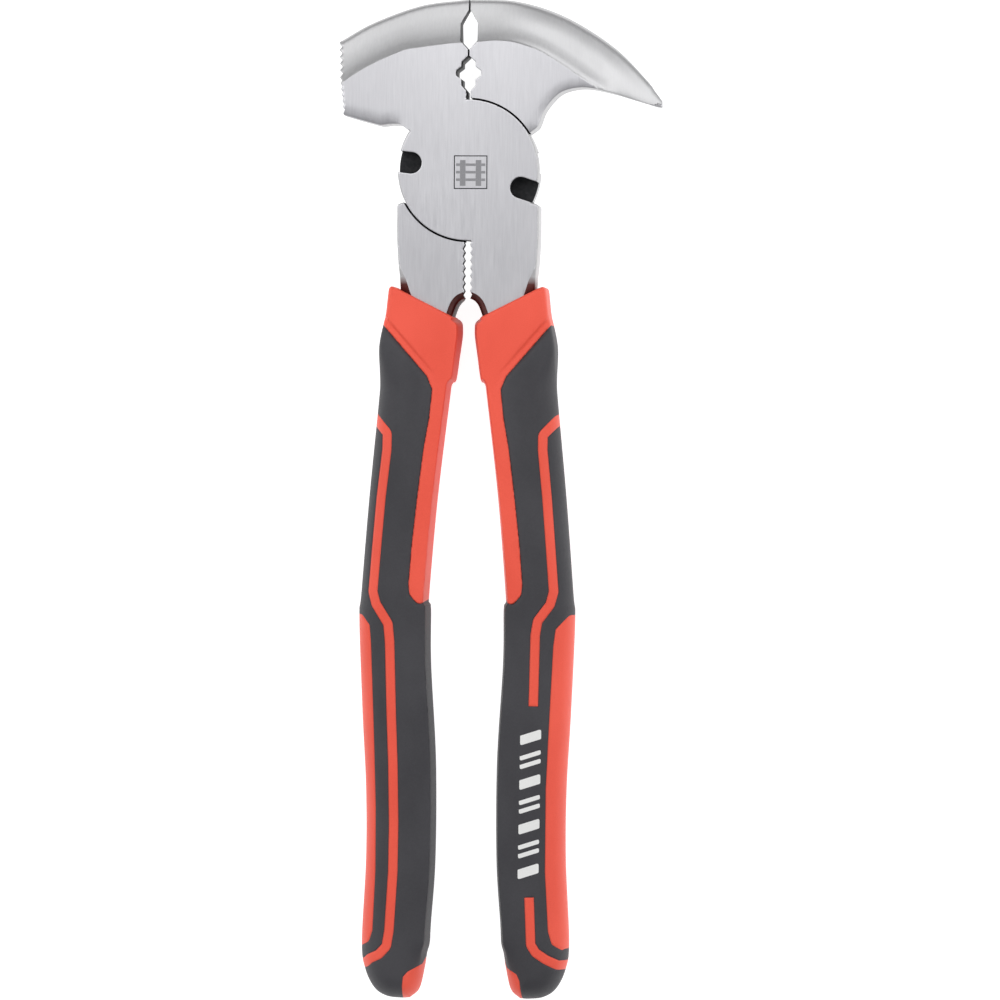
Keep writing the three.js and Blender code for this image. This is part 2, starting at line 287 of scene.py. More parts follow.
THROAT = [(0.7, -34.3), (1.9, -34.9), (2.9, -36.1), (3.6, -37.8), (4.2, -39.6), (4.9, TANG_END)]
HANDLE_CENTRE = [(12.6, -36), (13.2, -52), (15.2, -68), (17.3, -87.5), (19.2, -113), (19.1, -132),
                 (17.6, -158), (17.4, -175), (17.6, -190)]
# The dark finish beside the collars, with the collars' red reflection painted into its colour, is full below
# the first height and gone at the second.
REFLECTION_FULL, REFLECTION_TOP = -30.5, -28.3
# The facet beside the collar: its inner edge, a line beyond the tang's side, and how steeply it falls.
FACET = [(19.5, -23.2), (18.75, -24.7), (16.4, -29.3), (15.0, -33.6), (14.1, TANG_END - 1)]
FACET_OUTER = [(30, TANG_END - 1), (30, -23.2)]
FACET_SLOPE = 0.5
# The sheer lip where a flat meets its bevel, and a height between the joint and the bevels.
PLATE_LIP = 0.12
HEAD_BOTTOM = 15
# Distances out to the side: from the first, over the second, the claw's bevel swells, and the
# rounding under the hammer grows.
CLAW_SWELL = (4, 18)
CHEEK_GROWTH = (16.5, 5)

# How wide and how deep the rounding along each kind of edge is.
EDGES = {
    "gap": (0.14, 0.12), "jaw": (0.14, 0.12), "crown": (1.3, 1.1), "face": (0.5, 0.4),
    "web": (3.0, 0.4), "cheek": (3.6, 0.6), "rim": (0.3, 0.2), "throat": (1.75, 1.4),
    "core": (1.5, 1.2), "tang": (0.3, 0.25), "notch": (0.14, 0.12), "teeth": (0.14, 0.12),
}
DARK_EDGES = ("gap", "jaw", "throat", "notch", "teeth")
# The back of the staple teeth is cut away over this width and depth, and never past this share.
TEETH_RELIEF = (1.0, 9.5)
TEETH_CUT_SHARE = 0.68
# Rows of points inside the outline and to both sides of the flat's edge, and the filling's spacing.
EDGE_ROWS = (0.06, 0.14, 0.32, 0.62, 1.1, 1.7)
PLATE_ROWS = (0.3, 0.6, 1.0, 1.5, 2.1)
STEEL_SPACING = 0.75
# Bevel depths across the share of the way from flat to crown: the hollow one, and the claw's.
COVE = [(0, 0), (0.1, 0.6), (0.22, 1.22), (0.38, 1.85), (0.58, 2.45), (0.8, 2.95), (1, 3.4)]
BAR = [(0, 0), (0.1, 0.2), (0.2, 0.6), (0.32, 1.0), (0.45, 1.2), (0.58, 1.38), (0.72, 1.8),
       (0.86, 2.45), (1, 3.2)]
# What is taken off each face of the claw, by the distance out to the side.
THINNING = [(0, 0), (30, 0), (36, 0.7), (42, 2.3), (52, 4.8)]


def profile(value, table):
    """A smooth curve through a table, read at each value."""
    curve = smooth_curve(table, 0.05)
    return np.interp(value, curve[:, 0], curve[:, 1])


def teeth(start, end, count, depth):
    """A saw-toothed line, its valleys to the left of the way it runs."""
    a, b = np.array(start, float), np.array(end, float)
    step = (b - a) / count
    inward = np.array([-step[1], step[0]]) / np.linalg.norm(step) * depth
    out = []
    for i in range(count):
        out += [a + step * i, a + step * (i + 0.5) + inward]
    return out + [b]


def notch_line(angle, depth):
    """A round-ended cutter notch, gone round anticlockwise as part of the rim."""
    inner = DISC - depth + NOTCH_RADIUS
    mouth = math.sqrt(DISC ** 2 - NOTCH_RADIUS ** 2)
    end = arc(NOTCH_RADIUS, 270, 90, 0.4, (inner, 0))
    line = np.vstack([divided([(mouth, -NOTCH_RADIUS), (inner, -NOTCH_RADIUS)], 0.4)[:-1], end,
                      divided([(inner, NOTCH_RADIUS), (mouth, NOTCH_RADIUS)], 0.4)[1:]])
    c, s = math.cos(math.radians(angle)), math.sin(math.radians(angle))
    return line @ np.array([[c, s], [-s, c]])


def half_outline(is_claw):
    """The outline's stretches in order, each with the kind of edge it has."""
    mouth = math.degrees(math.asin(NOTCH_RADIUS / DISC))
    (left_angle, left_depth), (right_angle, right_depth) = NOTCHES
    centre = smooth_curve(HANDLE_CENTRE, 3)
    core_right = beside(centre, HANDLE_HALF_WIDTH)
    core_left = beside(centre, -HANDLE_HALF_WIDTH)
    last = HANDLE_CENTRE[-1]
    tip = arc(HANDLE_HALF_WIDTH, 180, 360, 1, last)
    core_left, core_right = (line[line[:, 1] < TANG_END] for line in (core_left, core_right))
    core = np.vstack([[(core_left[0][0], TANG_END)], core_left[:-1], tip,
                      core_right[:-1][::-1], [(core_right[0][0], TANG_END)]])
    notch_right = notch_line(right_angle, right_depth)
    tang = filleted([core[-1], (17.4, TANG_END), (18.1, -29), (18.55, -24.3), (18.9, -18.4),
                     (18.9, -9.25), notch_right[0]], 1.0)
    if is_claw:
        head_sides = [(smooth_curve(CLAW_CROWN), "crown"),
                      (filleted([CLAW_CROWN[-1], (-51.57, 16.95), CLAW_UNDERSIDE[0]], 0.6), "crown"),
                      (smooth_curve(CLAW_UNDERSIDE), "web")]
        joined = CLAW_JOIN
    else:
        face = [HAMMER_CROWN[-1], (-34.75, 34.35), *teeth((-35.0, 33.9), (-34.55, 24.8), 5, 0.8),
                *teeth((-34.5, 24.6), (-33.5, 15.2), 6, 0.45), HAMMER_UNDERSIDE[0]]
        head_sides = [(smooth_curve(HAMMER_CROWN), "crown"), (filleted(face, 0.12, turns=4), "face"),
                      (filleted(HAMMER_UNDERSIDE, 1.5), "cheek")]
        joined = HAMMER_JOIN
    saw = [(0.85, -18.8), (1.02, -19.1), *teeth((0.7, -20), (0.7, -34.3), 7, 0.55)]
    return [
        (filleted(JAW, 0.45), "jaw"), *head_sides,
        (arc(DISC, joined, left_angle - mouth), "rim"), (notch_line(left_angle, left_depth), "notch"),
        (arc(DISC, left_angle + mouth, LOWER_GAP[0]), "rim"), (arc(DISC, *LOWER_GAP), "gap"),
        (filleted(saw, 0.12, turns=4), "teeth"), (smooth_curve(THROAT), "throat"),
        (divided([THROAT[-1], core[0]], 1), "core"), (divided(core, 2), "core"),
        (tang, "tang"), (notch_right, "notch"),
        (arc(DISC, right_angle + mouth, UPPER_GAP[0]), "rim"), (arc(DISC, *UPPER_GAP), "gap"),
    ]


def bar(x, y, width, height):
    """A closed rectangle about a middle point."""
    w, h = width / 2, height / 2
    return np.array([(x - w, y - h), (x + w, y - h), (x + w, y + h), (x - w, y + h), (x - w, y - h)])


def badge():
    """A plain etched mark on the front: a frame round two fence posts and three wires."""
    half, line = BADGE_HALF, 0.28
    x, y = BADGE_CENTRE
    frame_bars = [bar(x, y + half, 2 * half + line, line), bar(x, y - half, 2 * half + line, line),
                  bar(x - half, y, line, 2 * half - line), bar(x + half, y, line, 2 * half - line)]
    posts = [bar(x + side * 2.1, y - 0.2, 1.5, 6.9) for side in (-1, 1)]
    wires = [bar(x + dx, y + dy, width, 0.7) for dy in (-2.0, 0, 2.0)
             for dx, width in ((0, 2.66), (-3.4, 1.06), (3.4, 1.06))]
    return frame_bars, posts + wires


def steel_half(name, is_claw, materials, marks=((), ())):
    """A forged half, made with its own disc in front, its head left and its tang right.

    The claw's half has the through hole for the rivet's head, and the hammer's half the blind one.
    """
    stretches = half_outline(is_claw)
    loop = closed(*[line for line, _ in stretches])
    plate = smooth_curve(CLAW_PLATE if is_claw else HAMMER_PLATE, 0.5)
    crown = smooth_curve(CLAW_CROWN if is_claw else HAMMER_CROWN)
    facet = divided(FACET, 0.8)
    facet_area = closed(facet, FACET_OUTER)

    def circle(size):
        return arc(size, 0, 360, 0.6)

    def ledge(y):
        return divided([(2, y), (25, y)], 1)

    throat_line = [line for line, tag in stretches if tag == "throat"][0]
    throat_edge = beside(np.vstack([throat_line, throat_line[-1:] + (0.2, -1.0)]), EDGES["throat"][0])
    lines = [circle(RECESS), circle(RECESS + STEP), plate, beside(plate, -PLATE_LIP), facet,
             throat_edge, ledge(TANG_END), ledge(TANG_END - STEP), ledge(REFLECTION_TOP), *marks[0], *marks[1]]
    holes = [circle(SHANK_HOLE)] if is_claw else []
    step_at = COUNTERSINK if is_claw else SHANK_HOLE
    lines += [circle(step_at), circle(step_at - STEP)]

    rows = []
    for distance in EDGE_ROWS:
        row = beside(loop, distance)
        gap = nearest(row, loop)
        rows.append(row[(gap > distance * 0.9) & inside(row, loop)])
    for distance in PLATE_ROWS:
        rows += [beside(plate, distance), beside(plate, -distance)]
    rows.append(grid(loop.min(0), loop.max(0), STEEL_SPACING))
    loose = np.vstack(rows)
    loose = loose[inside(loose, loop)]
    near_lines = np.min([nearest(loose, line) for line in [loop, *lines]], axis=0)
    core_only = loose[:, 1] < TANG_END - 1
    keep = (near_lines > 0.05) & ~(core_only & (near_lines > 2) & (np.arange(len(loose)) % 7 > 0))
    plan, faces = plan_mesh(loop, lines, loose[keep], holes)

    radius = np.hypot(plan[:, 0], plan[:, 1])
    above = nearest(plan, plate, 40)
    to_crown = nearest(plan, crown, 40)
    band = closed(plate, [(6, 60), (-60, 60), (-60, plate[0][1])])
    in_band = inside(plan, band) & (plan[:, 1] > HEAD_BOTTOM) & (above > 1e-6)
    s = np.where(in_band, above, 0)
    t = s / np.maximum(s + to_crown, 1e-6)
    swell = ease((-plan[:, 0] - CLAW_SWELL[0]) / CLAW_SWELL[1]) if is_claw else np.zeros(len(plan))
    relief = np.where(in_band, profile(t, COVE) * (1 - swell) + profile(t, BAR) * swell, 0)
    relief += np.where(in_band, PLATE_LIP * ease(s / PLATE_LIP), 0)

    on_side = inside(plan, facet_area) & (plan[:, 1] > TANG_END - 0.01)
    relief += np.where(on_side, FACET_SLOPE * nearest(plan, facet), 0)
    edge_drop = np.zeros(len(plan))
    for kind in EDGES:
        parts = [line for line, tag in stretches if tag == kind and len(line) > 1]
        if not parts:
            continue
        gap = np.min([nearest(plan, line) for line in parts], axis=0)
        width, depth = EDGES[kind]
        if kind == "cheek":
            depth = depth * ease((-CHEEK_GROWTH[0] - plan[:, 0]) / CHEEK_GROWTH[1])
        share = np.clip(1 - gap / width, 0, 1)
        edge_drop = np.maximum(edge_drop, depth * (1 - np.sqrt(1 - share ** 2)))
    thinning = np.interp(-plan[:, 0], *np.array(THINNING).T) if is_claw else 0
    half = (MIDDLE - thinning) * (1 - (relief + edge_drop) / MIDDLE)
    core = plan[:, 1] < TANG_END - STEP / 2
    half = np.where(core, HANDLE_HALF_DEPTH - np.minimum(edge_drop, 1.2), half)
    top, bottom = MIDDLE + half, MIDDLE - half

    lap = MIDDLE + LAP_GAP / 2
    bottom = np.where(radius < RECESS + STEP / 2, lap, bottom)
    if is_claw:
        cone = np.interp(radius, [SHANK_HOLE, COUNTERSINK - STEP, COUNTERSINK - STEP / 2],
                         [THICKNESS - CONE_DEPTH, THICKNESS - CONE_LAND, THICKNESS])
        top = np.where(radius < COUNTERSINK - STEP / 2, cone, top)
    else:
        bottom = np.where(radius < SHANK_HOLE - STEP / 2, BLIND_HOLE_TOP, bottom)

    saw = [line for line, tag in stretches if tag == "teeth"][0]
    width, depth = TEETH_RELIEF
    cut_back = np.minimum(depth * np.clip(1 - nearest(plan, saw) / width, 0, 1),
                          TEETH_CUT_SHARE * (top - bottom))
    if is_claw:
        top = top - cut_back
    else:
        bottom = bottom + cut_back

    count = len(plan)
    points = np.vstack([np.c_[plan, top], np.c_[plan, bottom]])
    rim = rim_of(faces)
    walls = np.stack([rim[:, 0] + count, rim[:, 1] + count, rim[:, 1], rim[:, 0]], 1)
    middles = plan[rim].mean(1)
    tags = np.concatenate([[tag] * (len(line) - 1) for line, tag in stretches])
    every = [line[i:i + 2] for line, _ in stretches for i in range(len(line) - 1)]
    starts, ends = np.array([e[0] for e in every]), np.array([e[1] for e in every])
    wall_kinds = []
    for middle in middles:
        d = ends - starts
        w = np.clip(((middle - starts) * d).sum(1) / np.maximum((d ** 2).sum(1), 1e-12), 0, 1)
        best = ((starts + w[:, None] * d - middle) ** 2).sum(1).argmin()
        # The tang's walls beside the collar take the dark steel with the collar's red reflection painted in.
        if tags[best] == "tang" and middle[1] < REFLECTION_TOP:
            wall_kinds.append(PAINTED_REFLECTION)
        else:
            dark = tags[best] in DARK_EDGES or np.hypot(*middle) < COUNTERSINK
            wall_kinds.append(DARK if dark else SIDE)

    centres = plan[faces].mean(1)
    centre_radius = np.hypot(centres[:, 0], centres[:, 1])
    on_band = inside(centres, band) & (centres[:, 1] > HEAD_BOTTOM)
    in_throat = nearest(centres, throat_line) < EDGES["throat"][0]
    edge_lines = [line for line, tag in stretches if tag in ("rim", "tang", "core")]
    on_edge = np.min([nearest(centres, line) for line in edge_lines], axis=0) < EDGES["rim"][0]
    on_facet = inside(centres, facet_area) & (centres[:, 1] > TANG_END)
    plain_kind = np.where(on_band, BEVEL, np.where(on_edge | on_facet, SIDE, BRIGHT))
    # The throat's bevel and the facet beside the collar take the dark steel with a painted red reflection of
    # the collars.
    plain_kind = np.where(in_throat | (on_facet & (centres[:, 1] < REFLECTION_TOP)), PAINTED_REFLECTION, plain_kind)
    bottom_kind = np.where(centre_radius < RECESS + STEP, DARK, plain_kind)
    top_kind = plain_kind
    for some, kind in zip(marks, (DARK, ETCHED)):
        for mark in some:
            top_kind = np.where(inside(centres, mark), kind, top_kind)
    return make_object(name, points, [faces, faces[:, ::-1] + count, walls], materials,
                       [top_kind, bottom_kind, np.array(wall_kinds)])


# ------------------------------------------------------------------ grips

# The right grip in plan. Its front is face B, whose stripe is broken for a mark,
# and its back is face A. The left grip is the same moulding turned half round.
COLLAR_TOP = [(20.9, -30.55), (1.6, -40.3)]
GRIP_OUTER = [(21, -31), (21.7, -38), (22.4, -41), (23.3, -45.5), (23.6, -49), (23.6, -56),
              (24, -62), (26.4, -87.5), (28.4, -113), (28.9, -120), (27.9, -145), (26.85, -165),
              (26.75, -184), (27.75, -206), (26.8, -213.5), (24.3, -218.6), (21, -220.8),
              (17.2, -221.3), (14.8, -221.2)]
GRIP_INNER = [(1.6, -40.3), (1.6, -44), (2.4, -50), (3.3, -56), (4.4, -57.1), (5.1, -61.8),
              (8.1, -87.5), (10.2, -112.5), (10.15, -115.6), (9.75, -117.4), (9.65, -132),
              (8.2, -158), (8.2, -184), (9.3, -201), (9.6, -206.5), (10.3, -209.2), (10.9, -213),
              (12.3, -218.8), (14.8, -221.2)]
COLLAR_EDGE = [(36, -25.7), (10.6, -55.05), (9.15, -58.6), (9.9, -66), (11.4, -74.6), (13, -87.5),
               (14.4, -100.4), (15.2, -110.6), (14.9, -113.4), (12.3, -116.4), (9, -113.4), (0, -113.4)]
# Corners that close the area above the collar's edge.
ABOVE_COLLAR = [(-10, -113.4), (-10, 0), (36, 0)]
# Each face: its stripe's middle line and breaks, and the edges of its side band and end patch.
FACE_A = {
    "stripe": [(30, -62.4), (24.9, -66.1), (21.15, -70.3), (21.2, -74.6), (22.7, -87.5), (23.8, -100.4),
               (24.75, -112.6), (23.9, -115.8), (20.6, -121.2), (20.15, -126), (19.6, -145.4),
               (19.1, -158.3), (18.8, -174.3), (18.95, -187.2), (19.9, -203), (20.6, -207.2),
               (22.6, -209.4), (25.2, -210.6), (26.4, -211.8), (36, -211.8)],
    "breaks": None,
    "band": [(36, -118.6), (27.9, -118.6), (25.6, -121.5), (25.2, -126), (24.3, -150), (23.7, -170),
             (23.7, -187), (24.4, -203), (25.4, -206), (28, -207.4), (36, -207.6)],
    "patch": [(2, -210.1), (10.4, -210.1), (11.2, -212), (14.8, -213.9), (16.1, -215.3),
              (16.4, -218), (16.5, -230), (2, -230)],
}
FACE_B = {
    "stripe": [(30, -62.6), (24.4, -66.5), (20.5, -70.7), (20.45, -74.6), (21.7, -87.5), (22.7, -100.4),
               (23.6, -112.4), (22.7, -115.8), (19.4, -120.2), (18.75, -124), (18.3, -145.4),
               (17.7, -165), (17.4, -180), (17.5, -193.9), (18, -206.5), (19.3, -208.6), (22, -210.4),
               (25.2, -211.95), (36, -211.95)],
    "breaks": (-193.9, -143),
    "band": [(36, -118.6), (27.8, -118.6), (24.2, -122.4), (23.6, -127), (22.7, -145), (21.8, -165),
             (21.7, -187), (22.6, -203), (23.6, -206.4), (26.2, -208), (27, -207.6), (36, -207.6)],
    "patch": [(2, -210.1), (10.4, -210.1), (11.3, -212.8), (14.2, -214.5), (15, -216.3), (15.5, -221),
              (15.6, -230), (2, -230)],
}
STRIPE_HALF = 1.25
GRIP_HALF = (grip_high[2] - grip_low[2]) / 2
BODY_HALF = 8.8
COVER_DEPTH = 1.2
# How much deeper the core lies than the cover's underside.
CORE_CLEARANCE = 0.06
# The raised collar's lower border: the border's width and how far it steps down.
FLANGE = 1.9
LEDGE = 0.65
# Where the collar starts to rise up the grip and over what length, and the same for the round tip.
COLLAR_RISE = (-60, 14)
TIP_START = (-205, 10)
# Half the thickness left at the inner edge, and the rounding of the creases on the inner side, the
# outer side and under the top.
INNER_EDGE_HALF = 0.5
INNER_CREASE, OUTER_CREASE, TOP_CREASE = 2.5, 0.4, 0.2
GRIP_SMOOTH_ANGLE = 38
# How far the inner side leans in over half the thickness, down the grip.
DRAFT = [(-221, 1.2), (-200, 0.9), (-115, 0.9), (-58, 0.75), (-54, 0.8), (-40, 1.1)]
CREASE_SHARES = (0.35, 0.7, 0.88, 1.0, 1.12, 1.35, 1.8)
# The width and depth of the rounding of the outer side, and of the same rounding at the collar.
OUTER_ROUND, ROUND_DEPTH = 6.0, 8.0
COLLAR_ROUND, COLLAR_ROUND_DEPTH = 1.4, 2.2
TOP_ROUND = 1.2
OUTER_ROWS = (0.1, 0.35, 0.8, 1.4, 2.2, 3.1, 4.2, 5.4)
# Width and depth of the groove along every colour boundary, and of the cover's rounded lip beside
# the collar, and the most of the half thickness that they take.
GROOVE = (0.3, 0.22)
LIP = (1.5, 0.5)
GROOVE_SHARE = 0.45
# The print: how many marks, where the first is, the step to the next, and the sizes of a mark.
PRINT_COUNT = 7
PRINT_START, PRINT_STEP = (17.7, -151.2), (-0.08, -5.95)
PRINT_WIDTH, BLOCK_HEIGHT = 5.6, 2.6
LINE_HEIGHT, LINE_SHIFT = 1.2, 1.15
# Rows of points inside the grip's outline, beside colour boundaries and beside the collar's edge.
GRIP_ROWS = (0.2, 0.5, 1.0, 1.7, 2.6, 3.8, 5.2)
COLOUR_ROWS = (0.12, 0.7, 1.2)
COLLAR_ROWS = (1.5, 1.75, 2.0, 2.25)


def collar_border():
    return filleted(COLLAR_EDGE, 2.0, 0.5)


def collar_area():
    return closed(collar_border(), ABOVE_COLLAR)


def red_outlines(face):
    """The red areas of one face of the grip, as closed outlines."""
    stripe = filleted(face["stripe"], 1.6, 0.5)
    loops = []
    pieces = [stripe]
    if face["breaks"]:
        low, high = face["breaks"]
        pieces = [stripe[stripe[:, 1] > high], stripe[stripe[:, 1] < low]]
    for piece in pieces:
        loops.append(closed(beside(piece, STRIPE_HALF), beside(piece, -STRIPE_HALF)[::-1]))
    loops.append(collar_area())
    loops.append(closed(filleted(face["band"], 1.6, 0.5), [(45, face["band"][-1][1]), (45, -118)]))
    loops.append(closed(filleted(face["patch"], 1.0, 0.5)))
    return loops


def grip_plan():
    """The grip's outline in plan, from the inner side round the tip and up the outer side."""
    top = filleted([smooth_curve(GRIP_OUTER)[7], COLLAR_TOP[0], COLLAR_TOP[1],
                    smooth_curve(GRIP_INNER)[7]], 2.4, 0.6)
    inner = smooth_curve(GRIP_INNER, 0.7)[6:]
    outer = smooth_curve(GRIP_OUTER, 0.7)[6:][::-1]
    loop = closed(top, inner, outer[1:])
    beside_inner = (top[:, 0] < COLLAR_TOP[1][0] + 0.02) & (top[:, 1] < COLLAR_TOP[1][1])
    beside_outer = (top[:, 0] > COLLAR_TOP[0][0] - 0.05) & (top[:, 1] < COLLAR_TOP[0][1] - 1.4)
    inner_corner = top[:, 0] < COLLAR_TOP[1][0] + 1.4
    outer_corner = top[:, 0] > COLLAR_TOP[0][0] - 1.6
    inner = np.vstack([top[inner_corner], inner])
    outer = np.vstack([outer, top[outer_corner]])
    return top[~beside_inner & ~beside_outer], inner, outer, loop


def round_over(gap, width, height, depth):
    """Height beside an edge that is rounded over a width and a depth."""
    share = np.clip(1 - gap / width, 0, 1)
    return height - depth * (1 - np.sqrt(1 - share ** 2))


def softest(a, b, width):
    """The lower of two heights, with the crease between them rounded."""
    blend = np.clip(0.5 + 0.5 * (b - a) / width, 0, 1)
    return b * (1 - blend) + a * blend - width * blend * (1 - blend)


def draft(y):
    return np.interp(y, *np.array(DRAFT).T)


def grip_height(plan, top, inner, outer, loop):
    """Half the grip's thickness over its plan."""
    y = plan[:, 1]
    collar = ease((y - COLLAR_RISE[0]) / COLLAR_RISE[1])
    main = BODY_HALF + (GRIP_HALF - BODY_HALF) * collar
    gap_in, gap_out = nearest(plan, inner), nearest(plan, outer)
    gap_top, gap_all = nearest(plan, top), nearest(plan, loop)
    width = OUTER_ROUND + (COLLAR_ROUND - OUTER_ROUND) * collar
    depth = ROUND_DEPTH + (COLLAR_ROUND_DEPTH - ROUND_DEPTH) * collar
    outside = round_over(gap_out, width, main, depth)
    leaning = INNER_EDGE_HALF + (main - INNER_EDGE_HALF) / draft(y) * gap_in
    edge = softest(softest(leaning, main, INNER_CREASE), outside, OUTER_CREASE)
    tip = ease((TIP_START[0] - y) / TIP_START[1])
    half = edge * (1 - tip) + round_over(gap_all, OUTER_ROUND, main, ROUND_DEPTH) * tip
    under_top = round_over(gap_top, TOP_ROUND, main + TOP_CREASE, TOP_ROUND)
    half = softest(half, under_top, TOP_CREASE)
    gap_border = nearest(plan, collar_border())
    ledge = LEDGE * (1 - ease((gap_border - FLANGE + 0.35) / 0.7)) * collar
    above = inside(plan, collar_area())
    return half - np.where(above, ledge, LEDGE * collar * np.exp(-gap_border))


def slanted(x, y, width, height):
    """A closed four-sided mark with rounded corners, leaning along the grip."""
    w, h, lean = width / 2, height / 2, 0.16 * width
    corners = [(x - w, y), (x - w, y - h - lean), (x + w, y - h + lean), (x + w, y + h + lean),
               (x - w, y + h - lean), (x - w, y)]
    return closed(filleted(corners, 0.45, 0.5, 4))


def print_marks():
    """Plain slanted marks printed on face B: solid blocks and pairs of bars by turns."""
    marks = []
    for i in range(PRINT_COUNT):
        x, y = PRINT_START[0] + PRINT_STEP[0] * i, PRINT_START[1] + PRINT_STEP[1] * i
        if i % 2 == 0:
            marks.append(slanted(x, y, PRINT_WIDTH, BLOCK_HEIGHT))
        else:
            marks += [slanted(x, y + shift, PRINT_WIDTH, LINE_HEIGHT) for shift in (LINE_SHIFT, -LINE_SHIFT)]
    return marks


def grip_surface():
    """The whole closed surface of the right grip, with its faces marked red or not."""
    top, inner, outer, loop = grip_plan()
    reds = {"front": red_outlines(FACE_B), "back": red_outlines(FACE_A)}
    lines = [line for loops in reds.values() for line in loops]
    marks = print_marks()
    bends = [beside(line, side * GROOVE[0]) for line in lines for side in (1, -1)]
    bends += [inner + left_normals(inner) * (draft(inner[:, 1]) * share)[:, None]
              for share in CREASE_SHARES]
    bends += [beside(outer, distance) for distance in OUTER_ROWS]
    border = collar_border()[:80]
    bends += [beside(border, side * distance) for distance in COLLAR_ROWS for side in (1, -1)]
    rows = [grid(loop.min(0), loop.max(0), 1.0)]
    for distance in GRIP_ROWS:
        row = beside(loop, distance)
        rows.append(row[(nearest(row, loop) > distance * 0.92) & inside(row, loop)])
    for line in lines:
        for distance in COLOUR_ROWS:
            rows += [beside(line, distance), beside(line, -distance)]
    loose = np.vstack(rows)
    loose = loose[inside(loose, loop)]
    near = np.min([nearest(loose, line, 0.2) for line in [loop, *lines, *bends]], axis=0)
    loose = loose[near > 0.08]
    cell = np.round(loose / 0.14).astype(int)
    loose = loose[np.unique(cell, axis=0, return_index=True)[1]]
    lines += bends + marks
    plan, faces = plan_mesh(loop, lines, loose)
    half = grip_height(plan, top, inner, outer, loop)
    count = len(plan)
    centres = plan[faces].mean(1)
    red = {side: np.any([inside(centres, line) for line in loops], axis=0)
           for side, loops in reds.items()}
    heights = {}
    for side, loops in reds.items():
        gap = np.min([nearest(plan, line) for line in loops], axis=0)
        width, depth = GROOVE
        drop = depth * (1 - ease(gap / width))
        in_red = np.any([inside(plan, line) for line in loops], axis=0)
        beside_collar = nearest(plan, loops[-3])
        lip_width, lip_depth = LIP
        share = np.clip(1 - beside_collar / lip_width, 0, 1)
        lip = lip_depth * (1 - np.sqrt(1 - share ** 2))
        heights[side] = half - np.minimum(np.maximum(drop, np.where(in_red, 0, lip)), GROOVE_SHARE * half)
    points = np.vstack([np.c_[plan, MIDDLE + heights["front"]], np.c_[plan, MIDDLE - heights["back"]]])
    rim = rim_of(faces)
    walls = np.vstack([np.stack([rim[:, 0] + count, rim[:, 1] + count, rim[:, 1]], 1),
                       np.stack([rim[:, 0] + count, rim[:, 1], rim[:, 0]], 1)])
    middles = plan[rim].mean(1)
    wall_red = np.any([inside(middles, line) for line in reds["back"]], axis=0)
    every = np.vstack([faces, faces[:, ::-1] + count, walls])
    is_red = np.concatenate([red["front"], red["back"], wall_red, wall_red])
    is_inked = np.zeros(len(every), bool)
    is_inked[:len(faces)] = np.any([inside(centres, mark) for mark in marks], axis=0)
    return points, every, is_red, is_inked


def point_normals(points, faces):
    corners = points[faces]
    face_normals = np.cross(corners[:, 1] - corners[:, 0], corners[:, 2] - corners[:, 0])
    normals = np.zeros_like(points)
    for i in range(3):
        np.add.at(normals, faces[:, i], face_normals)
    return normals / np.maximum(np.linalg.norm(normals, axis=1), 1e-12)[:, None]


def grip_pieces(name, turned, core_material, cover_materials):
    """The red core, sunk where the cover lies over it, and the cover as a closed shell."""
    points, faces, red, inked = GRIP_SURFACE
    normals = GRIP_NORMALS
    if turned:
        points = np.stack([-points[:, 0], points[:, 1], THICKNESS - points[:, 2]], 1)
        normals = normals * [-1, 1, -1]
    count = len(points)
    sunk = points - normals * (COVER_DEPTH + CORE_CLEARANCE)
    under = points - normals * COVER_DEPTH
    red_rim = rim_of(faces[red])
    walls = np.vstack([np.stack([red_rim[:, 0] + count, red_rim[:, 1] + count, red_rim[:, 1]], 1),
                       np.stack([red_rim[:, 0] + count, red_rim[:, 1], red_rim[:, 0]], 1)])
    core = make_object(f"{name}_grip_core_moulding", np.vstack([points, sunk]),
                       [faces[red], faces[~red] + count, walls], [core_material],
                       smooth_angle=GRIP_SMOOTH_ANGLE)
    soft_rim = rim_of(faces[~red])
    walls = np.vstack([np.stack([soft_rim[:, 0] + count, soft_rim[:, 1] + count, soft_rim[:, 1]], 1),
                       np.stack([soft_rim[:, 0] + count, soft_rim[:, 1], soft_rim[:, 0]], 1)])
    cover = make_object(f"{name}_grip_cover_moulding", np.vstack([points, under]),
                        [faces[~red], faces[~red][:, ::-1] + count, walls], cover_materials,
                       [inked[~red] * 1, np.zeros((~red).sum() + len(walls))],
                       smooth_angle=GRIP_SMOOTH_ANGLE)
    return core, cover


def lathe(name, outline, material, sides=128):
    """A turned solid about Z from a profile of radius and height, bottom to top."""
    line = np.array(outline, float)
    angle = np.radians(np.arange(sides) * 360 / sides)
    middle = line[1:-1]
    rings = np.stack([middle[:, None, 0] * np.cos(angle), middle[:, None, 0] * np.sin(angle),
                      np.repeat(middle[:, 1:2], sides, 1)], 2).reshape(-1, 3)
    points = np.vstack([[0, 0, line[0, 1]], rings, [0, 0, line[-1, 1]]])
    quads, caps = [], []
    for i in range(len(middle) - 1):
        for j in range(sides):
            k = (j + 1) % sides
            a, b = 1 + i * sides + j, 1 + i * sides + k
            quads.append((a, b, b + sides, a + sides))
    last = 1 + (len(middle) - 1) * sides
    for j in range(sides):
        k = (j + 1) % sides
        caps += [(0, 1 + k, 1 + j), (last + sides, last + j, last + k)]
    return make_object(name, points, [np.array(quads), np.array(caps)], [material])


# ------------------------------------------------------------------ materials

# How deep a material's fine texture goes, in metres.
GRAIN = 0.00006


